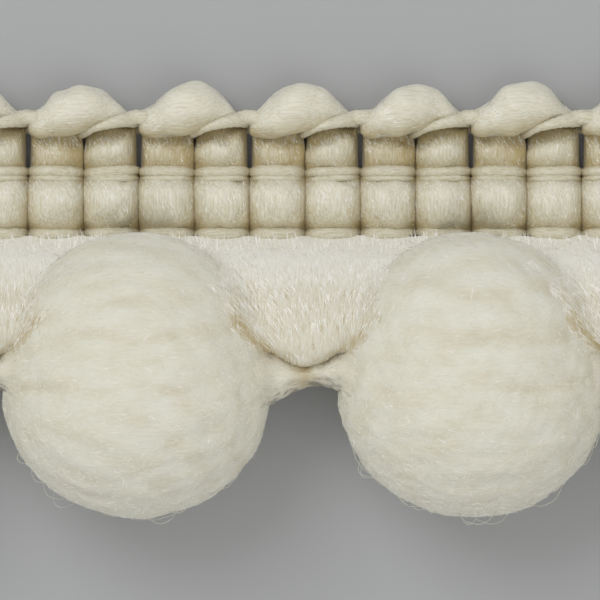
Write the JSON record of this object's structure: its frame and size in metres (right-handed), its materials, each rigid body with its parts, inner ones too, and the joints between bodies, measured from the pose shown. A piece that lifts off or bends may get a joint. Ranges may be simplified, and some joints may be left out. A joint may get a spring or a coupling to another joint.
{
  "type": "pompom fringe trim",
  "caption": "Cut length of pompom fringe trim: round cut-pile pompoms tied in a row below a crochet-knit heading with a scalloped upper edge.",
  "frame": {"origin": "on the flat back of the heading, at the middle of its length", "axes": "+X along the trim, +Y towards the scalloped edge of the heading, +Z out of the face; the trim lies on its back on z = 0"},
  "size_m": [0.0552, 0.0164, 0.0089],
  "materials": {
    "heading_yarn": "soft satin filament yarn, crochet-knit",
    "pompom_pile": "dense trimmed cut pile, matt and velvety",
    "tuft_yarn": "soft brushed filament yarn",
    "neck_yarn": "drawn-in pile strand"
  },
  "bodies": {
    "root": {"heading": "heading_yarn", "pompom_1": "pompom_pile", "pompom_2": "pompom_pile", "pompom_3": "pompom_pile", "pompom_4": "pompom_pile", "tuft_1": "tuft_yarn", "tuft_2": "tuft_yarn", "tuft_3": "tuft_yarn", "tuft_4": "tuft_yarn", "tuft_5": "tuft_yarn", "neck_1": "neck_yarn", "neck_2": "neck_yarn", "neck_3": "neck_yarn", "neck_4": "neck_yarn", "neck_5": "neck_yarn"}
  },
  "joints": []
}
